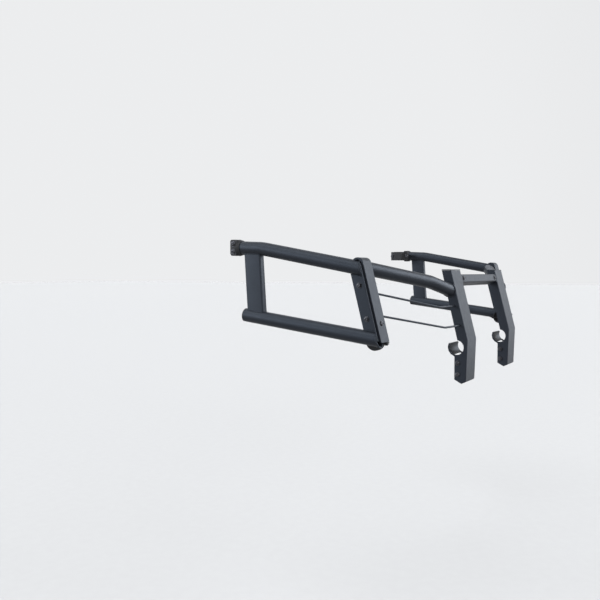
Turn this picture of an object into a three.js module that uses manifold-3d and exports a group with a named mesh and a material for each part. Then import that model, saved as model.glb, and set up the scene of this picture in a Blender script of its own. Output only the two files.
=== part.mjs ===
// Front grille guard for a side-by-side utility vehicle.
//
// Frame: millimetres, +Z up. The front of the guard faces -Y, the vehicle's left side is +X and its right
// side is -X. The origin is on the axis of the vehicle's bumper tube, halfway between the two uprights
// that hook over it. Everything is mirror-symmetric about X = 0: each side is built for +X, and the right
// side is the same group mirrored.

import * as THREE from 'three';
import { mergeVertices } from 'three/addons/utils/BufferGeometryUtils.js';
import Module from 'manifold-3d';

const wasm = await Module();
wasm.setup();

// ---------------------------------------------------------------------------------------------------
// Driving dimensions
// ---------------------------------------------------------------------------------------------------

const GAP = 0.3; // between pieces that are welded, clamped or seated on each other
const SHEET = 3; // uprights, posts and crossbar
const PLATE = 4; // covers, tabs, clamp brackets and cap plates

const TUBE_RADIUS = 21.2; // guard tubes, 42.4 mm across
const TUBE_WALL = 2.6;
const ROD_RADIUS = 3.2; // grille rods, 6.4 mm across

const NOTCH_RADIUS = 24.6; // notches and saddles that seat on the vehicle's 48.3 mm bumper tube

// Uprights: channel section, side outline as [y, z].
const UPRIGHT_INNER_X = 214;
const UPRIGHT_OUTER_X = 312;
const UPRIGHT_TOP_Z = 253;
const KNEE = [-38, 26];
const UPPER_FRONT_SLOPE = 0.2533; // y per z, front face above the knee
const UPPER_REAR_FOOT = [-3.3, 24]; // where the rear edge comes down to the notch
const UPPER_REAR_SLOPE = 0.238;
const LOWER_REAR_Y = 6;
const REAR_HEEL = [LOWER_REAR_Y, -106];
const TOE_TIP = [-18, -119];
const FRONT_TOE = [-33, -112];
const CLAMP_BAND_RADIUS = 30; // outside of the band behind the bumper tube
const CLAMP_BOLTS = [[-4, -51], [-4, -89]]; // [y, z] of the bolts low on each upright

// Crossbar: pressed channel, d behind its front face, v up along it.
const CROSSBAR_FOOT = [11.4, 213]; // [y, z] of the lower front edge
const CROSSBAR_FACE = 28.5;
const CROSSBAR_DEPTH = 30;
const CROSSBAR_SPLAY = [6, 4]; // how far the lower and the upper flange spread towards the rear
const CROSSBAR_BOLT_INSET = 21; // from the upright's inner face
const TAB_SIDE_LEG = [[0, -2], [28, -2], [28, 29], [22, 35], [6, 35], [0, 29]]; // [d, v]
const TAB_FACE_LEG_V = [6, 23];
const TAB_FACE_LEG_LENGTH = 33;

// Side frame.
const SIDE_X = 715; // axes of the side and lower tubes
const SIDE_TUBE = [[120, 252.5], [494.9, 321], [579.5, 325]]; // [y, z], bent where it meets the post
const TUBE_BEND_RADIUS = 160;
const LOWER_TUBE = [[60, 47.94], [558, 111.93]]; // [y, z]
const REAR_POST_POINT = [518.6, 160.2];
const REAR_POST_SLOPE = 0.0637; // y per z
const REAR_POST_FOOT_Z = 106; // on the lower tube's axis
const REAR_POST_LENGTHWISE = 60;
const REAR_POST_ACROSS = 25;

// Clamp lug on the rear end of the side tube.
const LUG_X = [714.3, 738];
const LUG_Y = [580.4, 603];
const LUG_Z = [299.5, 350.5];
const LUG_COLLAR_Y = [570, 581];
const LUG_COLLAR_RADII = [23.4, 26.5];
const LUG_SEAT_DEPTH = 40;
const LUG_BOLTS = [[592, 337], [592, 313]]; // [y, z]

// Middle bracket: the post and the cover bolted to it lean together; y of the cover's face at height z.
const COVER_POINT = [127.1, 209];
const COVER_SLOPE = 0.256;
const COVER_X = [667, 724];
const COVER_BOTTOM_Z = 45;
const COVER_THICKNESS = 6;
const COVER_ROLL_Z = 272; // centre of its top, which is rolled back over the side tube
const COVER_ROLL_RADIUS = 19;
const COVER_ROLL_END = 45; // degrees above level, at the rear
const BRACKET_DEPTH = 52.5; // level depth of its flanges behind the cover's face
const BRACKET_SIDE_BOLTS = [[160.8, 209], [137, 111.5]]; // [y, z]
const BRACKET_FACE_BOLT = [695.5, 98.6]; // [x, z]
const POST_OUTER_X = 733;
const POST_FLANGE_X = 716;
const POST_Z = [50, 275];
const POST_FLANGE_Z = [79, 262];
const POST_SHOULDER = [[722, 0], [729, -1.5], [POST_OUTER_X, -7]]; // [x, z below the top], rounded corner

// Front tube and grille rods, [x, y, z] from the bracket inwards; both ends are trimmed flush.
const FRONT_TUBE = [[675, 175.4, 262.5], [399, 61.6, 216.6], [300, 22.1, 186]];
const UPPER_ROD = [[675, 153.9, 190.1], [417.3, 21.2, 136.8], [300, 8, 136.4]];
const LOWER_ROD = [[675, 138.1, 123.2], [416.3, 2.4, 72.2], [300, -10.5, 72.9]];
const ROD_BEND_RADIUS = 30;

// Saddle and strap under the middle bracket.
const SADDLE_AXIS = [123, 46]; // [y, z] of the bumper tube's end
const SADDLE_X = [672, 692];
const SADDLE_WALL = 4;
const SADDLE_STOP_X = [688, 690]; // plate inside the ring that the end of the bumper tube butts against
const SADDLE_SPLIT_Z = 41;
const SADDLE_EAR = 3;
const SADDLE_BOLT_Y = 88.5;
const HOOK_SLOT_Y = [153.5, 158.5];
const STRAP_X = [674, 690];

// Clamp round the roll-cage pillar.
const PILLAR_RADIUS = 24.15;
const PILLAR_AXIS = [661, 600]; // [x, y]
const PILLAR_CLAMP_Z = [304, 344];
const PILLAR_BOLT_OFFSET = 35; // front and rear of the pillar's axis
const PILLAR_EAR_REACH = 42;
const PILLAR_EAR_ROOT = 27.5;
const PILLAR_EAR = 8;
const PILLAR_SPLIT = 2;

// Fasteners.
const M8 = { shank: 4, head: 7, headHeight: 4.6, socket: 2.6, socketDepth: 2.2, nut: 7.4, nutHeight: 6.5 };
const M6 = { shank: 3, head: 5, headHeight: 3.4, socket: 2, socketDepth: 1.6, nut: 5.7, nutHeight: 5 };
const HOLE_CLEARANCE = 0.5;
const HOLE_RADIUS = M8.shank + HOLE_CLEARANCE;
const BOLT_SIDES = 12;

const TUBE_SIDES = 20;
const BORE_SIDES = 16;
const BEND_STEPS = 4;
const ROLL_STEPS = 8;

// ---------------------------------------------------------------------------------------------------
// Finishes
// ---------------------------------------------------------------------------------------------------

const FINISH = {
  coat: { color: 0x23252b, roughness: 0.48, metalness: 0.25 },
  fastener: { color: 0x2c2d30, roughness: 0.38, metalness: 0.8 },
  plastic: { color: 0x141416, roughness: 0.6, metalness: 0 },
};

function piece(name, geometry, finish) {
  const mesh = new THREE.Mesh(geometry, new THREE.MeshStandardMaterial(FINISH[finish]));
  mesh.name = name;
  return mesh;
}

// ---------------------------------------------------------------------------------------------------
// Solids
// ---------------------------------------------------------------------------------------------------

function toSolid(geometry) {
  const bare = geometry.clone();
  bare.deleteAttribute('normal');
  bare.deleteAttribute('uv');
  const merged = mergeVertices(bare, 1e-4);
  return new wasm.Manifold(new wasm.Mesh({
    numProp: 3,
    vertProperties: new Float32Array(merged.attributes.position.array),
    triVerts: new Uint32Array(merged.index.array),
  }));
}

function toGeometry(solid) {
  const mesh = solid.getMesh();
  const geometry = new THREE.BufferGeometry();
  geometry.setAttribute('position', new THREE.BufferAttribute(mesh.vertProperties, 3));
  geometry.setIndex(new THREE.BufferAttribute(mesh.triVerts, 1));
  geometry.computeVertexNormals();
  return geometry;
}

function cut(base, ...tools) {
  return tools.reduce((solid, tool) => solid.subtract(tool), base);
}

function join(base, ...others) {
  return others.reduce((solid, other) => solid.add(other), base);
}

const sideView = new THREE.Matrix4().makeBasis(
  new THREE.Vector3(0, 1, 0),
  new THREE.Vector3(0, 0, 1),
  new THREE.Vector3(1, 0, 0),
);

function polygon(points) {
  return new THREE.Shape(points.map(([u, v]) => new THREE.Vector2(u, v)));
}

// A side outline in [y, z], as thick as the stretch of X that it spans.
function prism(outline, [xFrom, xTo]) {
  const geometry = new THREE.ExtrudeGeometry(polygon(outline), { depth: xTo - xFrom, bevelEnabled: false });
  geometry.applyMatrix4(sideView);
  geometry.translate(xFrom, 0, 0);
  return toSolid(geometry);
}

function block([x0, x1], [y0, y1], [z0, z1]) {
  const geometry = new THREE.BoxGeometry(x1 - x0, y1 - y0, z1 - z0);
  geometry.translate((x0 + x1) / 2, (y0 + y1) / 2, (z0 + z1) / 2);
  return toSolid(geometry);
}

// Turns a geometry built along +Y so that it stands at a point and looks along a direction.
function aim(geometry, point, direction) {
  const turn = new THREE.Quaternion().setFromUnitVectors(
    new THREE.Vector3(0, 1, 0),
    new THREE.Vector3(...direction).normalize(),
  );
  geometry.applyQuaternion(turn);
  geometry.translate(...point);
  return geometry;
}

// A round bar centred on a point.
function bar(radius, length, point, direction, sides = BOLT_SIDES) {
  return toSolid(aim(new THREE.CylinderGeometry(radius, radius, length, sides), point, direction));
}

// A button-head bolt with its head's seat at a point and its head looking along a direction. A bolt that
// passes right through carries its nut, joined to it.
function bolt(point, direction, length, nutAt = 0, size = M8) {
  const { shank, head, headHeight, socket, socketDepth, nut, nutHeight } = size;
  const profile = [
    [0, -length],
    [shank, -length],
    [shank, 0],
    [head, 0],
    [head, headHeight * 0.4],
    [head * 0.66, headHeight],
    [socket, headHeight],
    [socket, headHeight - socketDepth],
    [0, headHeight - socketDepth],
  ].map(([r, h]) => new THREE.Vector2(r, h));
  let solid = toSolid(new THREE.LatheGeometry(profile, BOLT_SIDES));
  if (nutAt > 0) {
    const hexagon = new THREE.CylinderGeometry(nut, nut, nutHeight, 6);
    hexagon.translate(0, -nutAt - nutHeight / 2, 0);
    solid = join(solid, toSolid(hexagon));
  }
  return aim(toGeometry(solid), point, direction);
}

// A tube's centre line: straight runs joined by round bends, with a station wherever its direction
// changes. The overrun lengthens it at both ends.
class BentLine extends THREE.Curve {
  constructor(corners, bendRadius, overrun = 0) {
    super();
    this.stations = [];
    this.tangents = [];
    const points = corners.map((corner) => new THREE.Vector3(...corner));
    const last = points.length - 1;
    const startward = points[0].clone().sub(points[1]).normalize();
    const endward = points[last].clone().sub(points[last - 1]).normalize();
    this.addStation(points[0].clone().addScaledVector(startward, overrun), startward.clone().negate());
    for (let i = 1; i < last; i += 1) {
      this.addBend(points[i - 1], points[i], points[i + 1], bendRadius);
    }
    this.addStation(points[last].clone().addScaledVector(endward, overrun), endward);
  }

  addStation(point, tangent) {
    this.stations.push(point.clone());
    this.tangents.push(tangent.clone().normalize());
  }

  addBend(previous, corner, next, radius) {
    const back = previous.clone().sub(corner).normalize();
    const onward = next.clone().sub(corner).normalize();
    const turn = Math.PI - back.angleTo(onward);
    const start = corner.clone().addScaledVector(back, radius * Math.tan(turn / 2));
    const inwards = back.clone().add(onward).normalize();
    const centre = corner.clone().addScaledVector(inwards, radius / Math.cos(turn / 2));
    const axis = back.clone().negate().cross(onward).normalize();
    const arm = start.sub(centre);
    for (let k = 0; k <= BEND_STEPS; k += 1) {
      const angle = (turn * k) / BEND_STEPS;
      const point = arm.clone().applyAxisAngle(axis, angle).add(centre);
      this.addStation(point, back.clone().negate().applyAxisAngle(axis, angle));
    }
  }

  getPoint(t) {
    return this.stations[Math.round(t * (this.stations.length - 1))].clone();
  }

  getPointAt(u) {
    return this.getPoint(u);
  }

  getTangentAt(u) {
    return this.tangents[Math.round(u * (this.stations.length - 1))].clone();
  }
}

function sweep(line, radius, sides) {
  const section = new THREE.Shape();
  section.absarc(0, 0, radius, 0, 2 * Math.PI);
  return new THREE.ExtrudeGeometry(section, {
    steps: line.stations.length - 1,
    extrudePath: line,
    curveSegments: sides / 2,
  });
}

function roundTube(corners) {
  const outside = sweep(new BentLine(corners, TUBE_BEND_RADIUS), TUBE_RADIUS, TUBE_SIDES);
  const bore = sweep(new BentLine(corners, TUBE_BEND_RADIUS, 1), TUBE_RADIUS - TUBE_WALL, BORE_SIDES);
  return cut(toSolid(outside), toSolid(bore));
}

// The side outline of sheet folded along a line of points: the line, and back along it one sheet inside.
function offsetLine(points, distance) {
  const normals = points.slice(1).map(([y, z], i) => {
    const run = new THREE.Vector2(y - points[i][0], z - points[i][1]).normalize();
    return new THREE.Vector2(-run.y, run.x);
  });
  return points.map(([y, z], i) => {
    const before = normals[Math.max(i - 1, 0)];
    const after = normals[Math.min(i, normals.length - 1)];
    const mitre = before.clone().add(after);
    mitre.multiplyScalar((2 * distance) / mitre.lengthSq());
    return [y + mitre.x, z + mitre.y];
  });
}

// ---------------------------------------------------------------------------------------------------
// Centre frame, +X side
// ---------------------------------------------------------------------------------------------------

const upperFrontY = (z) => KNEE[0] + (z - KNEE[1]) * UPPER_FRONT_SLOPE;
const upperRearY = (z) => UPPER_REAR_FOOT[0] + (z - UPPER_REAR_FOOT[1]) * UPPER_REAR_SLOPE;

const across = [1, 0, 0];
const farOut = [600, 800];

function bumperTube() {
  return bar(NOTCH_RADIUS, 400, [250, 0, 0], across, 32);
}

function clampHoles() {
  return CLAMP_BOLTS.map(([y, z]) => bar(HOLE_RADIUS, 400, [250, y, z], across));
}

function upright() {
  const top = [upperFrontY(UPRIGHT_TOP_Z), UPRIGHT_TOP_Z];
  const outline = [
    top,
    KNEE,
    FRONT_TOE,
    TOE_TIP,
    REAR_HEEL,
    [LOWER_REAR_Y, 0],
    UPPER_REAR_FOOT,
    [upperRearY(UPRIGHT_TOP_Z), UPRIGHT_TOP_Z],
  ];
  const above = [upperFrontY(UPRIGHT_TOP_Z + 20), UPRIGHT_TOP_Z + 20];
  const inside = offsetLine([above, KNEE, FRONT_TOE, TOE_TIP], SHEET);
  const toeInside = inside[inside.length - 1];
  const hollow = [...inside, [toeInside[0], -150], [100, -150], [100, UPRIGHT_TOP_Z + 20]];
  const body = prism(outline, [UPRIGHT_INNER_X, UPRIGHT_OUTER_X]);
  const channel = prism(hollow, [UPRIGHT_INNER_X + SHEET, UPRIGHT_OUTER_X - SHEET]);
  return toGeometry(cut(body, channel, bumperTube(), ...clampHoles()));
}

function uprightCap() {
  const z0 = UPRIGHT_TOP_Z + GAP;
  const z1 = z0 + PLATE - GAP;
  const outline = [[upperFrontY(z0), z0], [upperFrontY(z1), z1], [upperRearY(z1), z1], [upperRearY(z0), z0]];
  return toGeometry(prism(outline, [UPRIGHT_INNER_X, UPRIGHT_OUTER_X]));
}

// Formed bracket inside the upright: two ears bolted to its flanges, and between them a band that wraps
// round the back of the bumper tube.
function tubeClamp() {
  const outer = [UPRIGHT_INNER_X + SHEET + GAP, UPRIGHT_OUTER_X - SHEET - GAP];
  const around = (degrees) => {
    const angle = THREE.MathUtils.degToRad(degrees);
    return [CLAMP_BAND_RADIUS * Math.cos(angle), CLAMP_BAND_RADIUS * Math.sin(angle)];
  };
  const hook = [25, 0, -25, -50, -72].map(around);
  const ears = [...hook, [LOWER_REAR_Y, -32], [LOWER_REAR_Y, -101], [-20, -101], [-20, -20], [0, 0]];
  const below = [[0, 0], [50, -86.6], [50, -150], [-50, -150], [-50, 30], [0, 30]];
  const opening = prism(below, [outer[0] + PLATE, outer[1] - PLATE]);
  return toGeometry(cut(prism(ears, outer), opening, bumperTube(), ...clampHoles()));
}

// A point of the leaning crossbar: d behind its front face, v up along it.
const lean = new THREE.Vector2(UPPER_FRONT_SLOPE, 1).normalize();
const leanPoint = ([d, v]) => [
  CROSSBAR_FOOT[0] + d * lean.y + v * lean.x,
  CROSSBAR_FOOT[1] - d * lean.x + v * lean.y,
];
const crossbarEndX = UPRIGHT_INNER_X - GAP - PLATE - GAP;
const crossbarBoltX = UPRIGHT_INNER_X - CROSSBAR_BOLT_INSET;
const faceOut = [0, -lean.y, lean.x];

function crossbarHole(x) {
  const [y, z] = leanPoint([5, CROSSBAR_FACE / 2]);
  return bar(HOLE_RADIUS, 30, [x, y, z], faceOut);
}

function crossbar() {
  const [low, high] = CROSSBAR_SPLAY;
  const rise = CROSSBAR_FACE;
  const section = [
    [0, 0],
    [0, rise],
    [CROSSBAR_DEPTH, rise + high],
    [CROSSBAR_DEPTH, rise + high - SHEET],
    [SHEET, rise - SHEET],
    [SHEET, SHEET],
    [CROSSBAR_DEPTH, SHEET - low],
    [CROSSBAR_DEPTH, -low],
  ].map(leanPoint);
  const body = prism(section, [-crossbarEndX, crossbarEndX]);
  return toGeometry(cut(body, crossbarHole(crossbarBoltX), crossbarHole(-crossbarBoltX)));
}

// Angle welded to the upright: one leg on its side, the other behind the crossbar's face.
function crossbarTab() {
  const sideLeg = TAB_SIDE_LEG.map(leanPoint);
  const [lowV, highV] = TAB_FACE_LEG_V;
  const front = SHEET + GAP;
  const rear = front + PLATE;
  const faceLeg = [[front, lowV], [rear, lowV], [rear, highV], [front, highV]].map(leanPoint);
  const legEnd = UPRIGHT_INNER_X - GAP;
  const faceX = [legEnd - TAB_FACE_LEG_LENGTH - 1, legEnd - 1];
  const body = join(prism(sideLeg, [legEnd - PLATE, legEnd]), prism(faceLeg, faceX));
  return toGeometry(cut(body, crossbarHole(crossbarBoltX)));
}

function crossbarBolt() {
  const [y, z] = leanPoint([-GAP, CROSSBAR_FACE / 2]);
  return bolt([crossbarBoltX, y, z], faceOut, 18, SHEET + PLATE + 3 * GAP);
}

function centreHalf(side) {
  const group = new THREE.Group();
  group.add(piece(`upright_${side}`, upright(), 'coat'));
  group.add(piece(`upright_cap_${side}`, uprightCap(), 'coat'));
  group.add(piece(`tube_clamp_${side}`, tubeClamp(), 'coat'));
  group.add(piece(`crossbar_tab_${side}`, crossbarTab(), 'coat'));
  group.add(piece(`crossbar_bolt_${side}`, crossbarBolt(), 'fastener'));
  const width = UPRIGHT_OUTER_X - UPRIGHT_INNER_X + 2 * GAP;
  CLAMP_BOLTS.forEach(([y, z], i) => {
    const through = bolt([UPRIGHT_OUTER_X + GAP, y, z], across, width + 9, width);
    group.add(piece(`upright_bolt_${i === 0 ? 'upper' : 'lower'}_${side}`, through, 'fastener'));
  });
  return group;
}

// ---------------------------------------------------------------------------------------------------
// Side frame, +X side
// ---------------------------------------------------------------------------------------------------

const coverFaceY = (z) => COVER_POINT[0] + (z - COVER_POINT[1]) * COVER_SLOPE;
const levelThickness = (thickness) => thickness * Math.hypot(1, COVER_SLOPE);
const postFaceOffset = levelThickness(COVER_THICKNESS) + GAP;
const tubeEndOffset = postFaceOffset + levelThickness(SHEET) + GAP;

// Everything in front of a plane that lies a level distance behind the cover's face.
function beforeCover(offset) {
  const low = -50;
  const high = 400;
  const foot = [coverFaceY(low) + offset, low];
  const head = [coverFaceY(high) + offset, high];
  return prism([[-100, low], foot, head, [-100, high]], farOut);
}

const sideTubeCorners = SIDE_TUBE.map(([y, z]) => [SIDE_X, y, z]);
const lowerTubeCorners = LOWER_TUBE.map(([y, z]) => [SIDE_X, y, z]);

function sideTube() {
  return toGeometry(cut(roundTube(sideTubeCorners), beforeCover(tubeEndOffset)));
}

// Cast lug on the tube's rear end: a tapered collar round the tube and a block behind it, bolted to the
// pillar clamp through its side.
function tubeLug() {
  const [bend, end] = SIDE_TUBE.slice(1).map(([y, z]) => new THREE.Vector3(SIDE_X, y, z));
  const alongTube = end.clone().sub(bend).normalize();
  const [collarStart, collarEnd] = LUG_COLLAR_Y;
  const [thin, thick] = LUG_COLLAR_RADII;
  const taper = new THREE.CylinderGeometry(thick, thin, collarEnd - collarStart, TUBE_SIDES);
  const collar = toSolid(aim(taper, [SIDE_X, (collarStart + collarEnd) / 2, end.z], [0, 1, 0]));
  const [front, rear] = LUG_Y;
  const [low, high] = LUG_Z;
  const back = [[rear - 5, low], [rear, low + 7], [rear, high - 4], [rear - 4, high]];
  const outline = [[front, low], ...back, [front, high]];
  const seatMiddle = end.clone().addScaledVector(alongTube, GAP - LUG_SEAT_DEPTH / 2);
  const seat = bar(TUBE_RADIUS + GAP, LUG_SEAT_DEPTH, seatMiddle.toArray(), alongTube.toArray(), TUBE_SIDES);
  const holes = LUG_BOLTS.map(([y, z]) => bar(HOLE_RADIUS, 80, [SIDE_X, y, z], across));
  return toGeometry(cut(join(collar, prism(outline, LUG_X)), seat, ...holes));
}

function lowerTube() {
  return toGeometry(cut(roundTube(lowerTubeCorners), beforeCover(tubeEndOffset)));
}

// Domed push-in plug for the open rear end of the lower tube.
function lowerTubePlug() {
  const bore = TUBE_RADIUS - TUBE_WALL - 0.6;
  const profile = [
    [0, -14],
    [bore, -14],
    [bore, GAP],
    [TUBE_RADIUS, GAP],
    [TUBE_RADIUS, 2],
    [TUBE_RADIUS * 0.8, 5],
    [0, 6.5],
  ].map(([r, h]) => new THREE.Vector2(r, h));
  const [start, end] = LOWER_TUBE;
  const plug = new THREE.LatheGeometry(profile, TUBE_SIDES);
  return aim(toGeometry(toSolid(plug)), [SIDE_X, ...end], [0, end[0] - start[0], end[1] - start[1]]);
}

// The two side tubes with a little room round them, for trimming what is welded to them or wraps them.
function tubeRoom() {
  return [sideTubeCorners, lowerTubeCorners].map((corners) => {
    const line = new BentLine(corners, TUBE_BEND_RADIUS);
    return cut(toSolid(sweep(line, TUBE_RADIUS + GAP, TUBE_SIDES)), beforeCover(tubeEndOffset - GAP));
  });
}

function rearPost() {
  const centreY = (z) => REAR_POST_POINT[0] + (z - REAR_POST_POINT[1]) * REAR_POST_SLOPE;
  const low = REAR_POST_FOOT_Z;
  const high = SIDE_TUBE[1][1];
  const slab = (inset) => {
    const half = REAR_POST_LENGTHWISE / 2 - inset;
    const reach = REAR_POST_ACROSS / 2 - inset;
    const foot = [[centreY(low) - half, low], [centreY(low) + half, low]];
    const head = [[centreY(high) + half, high], [centreY(high) - half, high]];
    return prism([...foot, ...head], [SIDE_X - reach, SIDE_X + reach]);
  };
  return toGeometry(cut(slab(0), slab(TUBE_WALL), ...tubeRoom()));
}

function bracketSideHoles() {
  return BRACKET_SIDE_BOLTS.map(([y, z]) => bar(HOLE_RADIUS, 200, [690, y, z], across));
}

function bracketFaceHole() {
  const [x, z] = BRACKET_FACE_BOLT;
  return bar(HOLE_RADIUS, 40, [x, coverFaceY(z), z], [0, -1, COVER_SLOPE]);
}

// A round bar on the saddle's axis, reaching outboard to an X.
function saddleBar(radius, outerX) {
  const [y, z] = SADDLE_AXIS;
  return bar(radius, 400, [outerX - 200, y, z], across, 32);
}

// Side outline of the middle bracket between a plane parallel to the cover's face and another behind it.
function bracketOutline(offset, depth, lowZ, highZ) {
  return [
    [coverFaceY(lowZ) + offset, lowZ],
    [coverFaceY(highZ) + offset, highZ],
    [coverFaceY(highZ) + depth, highZ],
    [coverFaceY(lowZ) + depth, lowZ],
  ];
}

// Post between the ends of the two side tubes: a web that closes them, with its upper outer corner
// rounded, and two flanges behind it.
function frontPost() {
  const innerX = COVER_X[0] + PLATE + GAP;
  const [low, high] = POST_Z;
  const [flangeLow, flangeHigh] = POST_FLANGE_Z;
  const webFront = postFaceOffset;
  const webRear = webFront + levelThickness(SHEET);
  const web = prism(bracketOutline(webFront, webRear, low, high), [innerX, POST_OUTER_X]);
  const boxOutline = bracketOutline(webFront + 1, BRACKET_DEPTH, flangeLow, flangeHigh);
  const box = prism(boxOutline, [innerX, POST_FLANGE_X]);
  const hollowOutline = bracketOutline(webRear, BRACKET_DEPTH + 40, flangeLow - 10, flangeHigh + 10);
  const hollow = prism(hollowOutline, [innerX + SHEET, POST_FLANGE_X - SHEET]);
  const flanges = cut(box, hollow, ...tubeRoom());
  const corner = POST_SHOULDER.map(([x, drop]) => [x, high + drop]);
  const above = [[800, corner[corner.length - 1][1]], [800, high + 5], [corner[0][0], high + 5]];
  const cornerShape = polygon([...corner, ...above]);
  const shoulder = new THREE.ExtrudeGeometry(cornerShape, { depth: 100, bevelEnabled: false });
  shoulder.rotateX(Math.PI / 2);
  shoulder.translate(0, 200, 0);
  const seat = saddleBar(NOTCH_RADIUS + SADDLE_WALL + GAP, SADDLE_X[1] + GAP);
  const holes = [...bracketSideHoles(), bracketFaceHole()];
  return toGeometry(cut(join(web, flanges), toSolid(shoulder), seat, ...holes));
}

// Side outline of the cover, inset from its outside: straight up its face, then over the rolled top.
function coverOutline(inset, bottom, rear) {
  const face = levelThickness(inset);
  const rollY = coverFaceY(COVER_ROLL_Z) + levelThickness(COVER_ROLL_RADIUS);
  const radius = COVER_ROLL_RADIUS - inset;
  const tangent = Math.PI - Math.atan(COVER_SLOPE);
  const end = THREE.MathUtils.degToRad(COVER_ROLL_END);
  const roll = [];
  for (let k = 0; k <= ROLL_STEPS; k += 1) {
    const angle = tangent + ((end - tangent) * k) / ROLL_STEPS;
    roll.push([rollY + radius * Math.cos(angle), COVER_ROLL_Z + radius * Math.sin(angle)]);
  }
  return [[coverFaceY(bottom) + face, bottom], ...roll, ...rear];
}

// Thick plate over the post's face, its top rolled back over the side tube, with a flange on the inboard
// side where the front tube and the grille rods are welded.
function bracketCover() {
  const bottom = COVER_BOTTOM_Z;
  const outside = coverOutline(0, bottom, [
    [coverFaceY(COVER_ROLL_Z) + BRACKET_DEPTH, COVER_ROLL_Z],
    [coverFaceY(bottom) + BRACKET_DEPTH, bottom],
  ]);
  const inside = coverOutline(COVER_THICKNESS, bottom - 20, [[300, 400], [300, bottom - 20]]);
  const body = prism(outside, COVER_X);
  const hollow = prism(inside, [COVER_X[0] + PLATE, COVER_X[1] + 10]);
  const bumper = saddleBar(NOTCH_RADIUS + GAP, COVER_X[1]);
  return toGeometry(cut(body, hollow, bumper, ...tubeRoom(), ...bracketSideHoles(), bracketFaceHole()));
}

// Trims a tube or a rod flush with the bracket's inboard flange and the upright's outer face.
function trimmed(solid) {
  const outboard = block([COVER_X[0] - GAP, 800], [-200, 400], [-100, 400]);
  const inboard = block([200, UPRIGHT_OUTER_X + GAP], [-200, 400], [-100, 400]);
  return toGeometry(cut(solid, outboard, inboard));
}

function frontTube() {
  return trimmed(roundTube(FRONT_TUBE));
}

function grilleRod(corners) {
  return trimmed(toSolid(sweep(new BentLine(corners, ROD_BEND_RADIUS), ROD_RADIUS, 8)));
}

// Half ring with an ear in front and behind, part closed by a stop plate; up is +1 for the saddle and -1
// for the strap.
function halfRing(up, rearEarY, xs) {
  const [y, z] = SADDLE_AXIS;
  const outer = NOTCH_RADIUS + SADDLE_WALL;
  const split = SADDLE_SPLIT_Z + up * 0.5;
  const earTop = split + up * SADDLE_EAR;
  const ring = cut(
    bar(outer, xs[1] - xs[0], [(xs[0] + xs[1]) / 2, y, z], across, 32),
    block([600, 800], [0, 300], up > 0 ? [z - 100, split] : [split, z + 100]),
  );
  const frontY = SADDLE_BOLT_Y - 5.5;
  const ears = prism([[frontY, split], [rearEarY, split], [rearEarY, earTop], [frontY, earTop]], xs);
  const hole = bar(M6.shank + HOLE_CLEARANCE, 60, [(xs[0] + xs[1]) / 2, SADDLE_BOLT_Y, z], [0, 0, 1]);
  const [stopFrom, stopTo] = SADDLE_STOP_X;
  const bore = [[600, stopFrom], [stopTo, 800]].map(([from, to]) => {
    return bar(NOTCH_RADIUS, to - from, [(from + to) / 2, y, z], across, 32);
  });
  return cut(join(ring, ears), ...bore, hole);
}

function bumperSaddle() {
  const slot = block([STRAP_X[0] - GAP, STRAP_X[1] + GAP], HOOK_SLOT_Y, [0, 100]);
  return toGeometry(cut(halfRing(1, HOOK_SLOT_Y[1] + 5, SADDLE_X), slot));
}

// The strap's rear end passes up through the saddle's slot and hooks over it.
function bumperStrap() {
  const [slotFrom, slotTo] = HOOK_SLOT_Y;
  const z = SADDLE_SPLIT_Z;
  const neck = block(STRAP_X, [slotFrom + 0.7, slotTo - 0.7], [z - 3, z + 8]);
  const hook = block(STRAP_X, [slotFrom + 0.7, slotTo + 7], [z + 4.5, z + 8]);
  return toGeometry(join(halfRing(-1, slotTo - 0.7, STRAP_X), neck, hook));
}

// Screwed up into the saddle's front ear.
function saddleBolt() {
  const z = SADDLE_SPLIT_Z - 0.5 - SADDLE_EAR - GAP;
  return bolt([(SADDLE_X[0] + SADDLE_X[1]) / 2, SADDLE_BOLT_Y, z], [0, 0, -1], 7, 0, M6);
}

// ---------------------------------------------------------------------------------------------------
// Pillar clamp, +X side
// ---------------------------------------------------------------------------------------------------

const [pillarX, pillarY] = PILLAR_AXIS;
const clampMidZ = (PILLAR_CLAMP_Z[0] + PILLAR_CLAMP_Z[1]) / 2;
const clampHeight = PILLAR_CLAMP_Z[1] - PILLAR_CLAMP_Z[0];
const pillarBore = PILLAR_RADIUS + GAP;

// An outline in [x, y], as tall as the clamp.
function clampPrism(points) {
  const geometry = new THREE.ExtrudeGeometry(polygon(points), { depth: clampHeight, bevelEnabled: false });
  geometry.translate(0, 0, PILLAR_CLAMP_Z[0]);
  return toSolid(geometry);
}

// Half of the clamp on one side of the pillar; out is +1 towards the side tube.
function clampHalf(out) {
  const split = pillarX + (out * PILLAR_SPLIT) / 2;
  const ear = split + out * PILLAR_EAR;
  const back = pillarX + out * (pillarBore + 5);
  return clampPrism([
    [split, pillarY - PILLAR_EAR_REACH],
    [ear, pillarY - PILLAR_EAR_REACH],
    [ear, pillarY - PILLAR_EAR_ROOT],
    [back, pillarY - 18],
    [back, pillarY + 18],
    [ear, pillarY + PILLAR_EAR_ROOT],
    [ear, pillarY + PILLAR_EAR_REACH],
    [split, pillarY + PILLAR_EAR_REACH],
  ]);
}

function pillarRoom() {
  return bar(pillarBore, 200, [pillarX, pillarY, clampMidZ], [0, 0, 1], 24);
}

function pillarBoltPoints(x) {
  return [-1, 1].map((sign) => [x, pillarY + sign * PILLAR_BOLT_OFFSET, clampMidZ]);
}

function pillarBoltHoles() {
  return pillarBoltPoints(pillarX).map((point) => bar(HOLE_RADIUS, 60, point, across));
}

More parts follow.
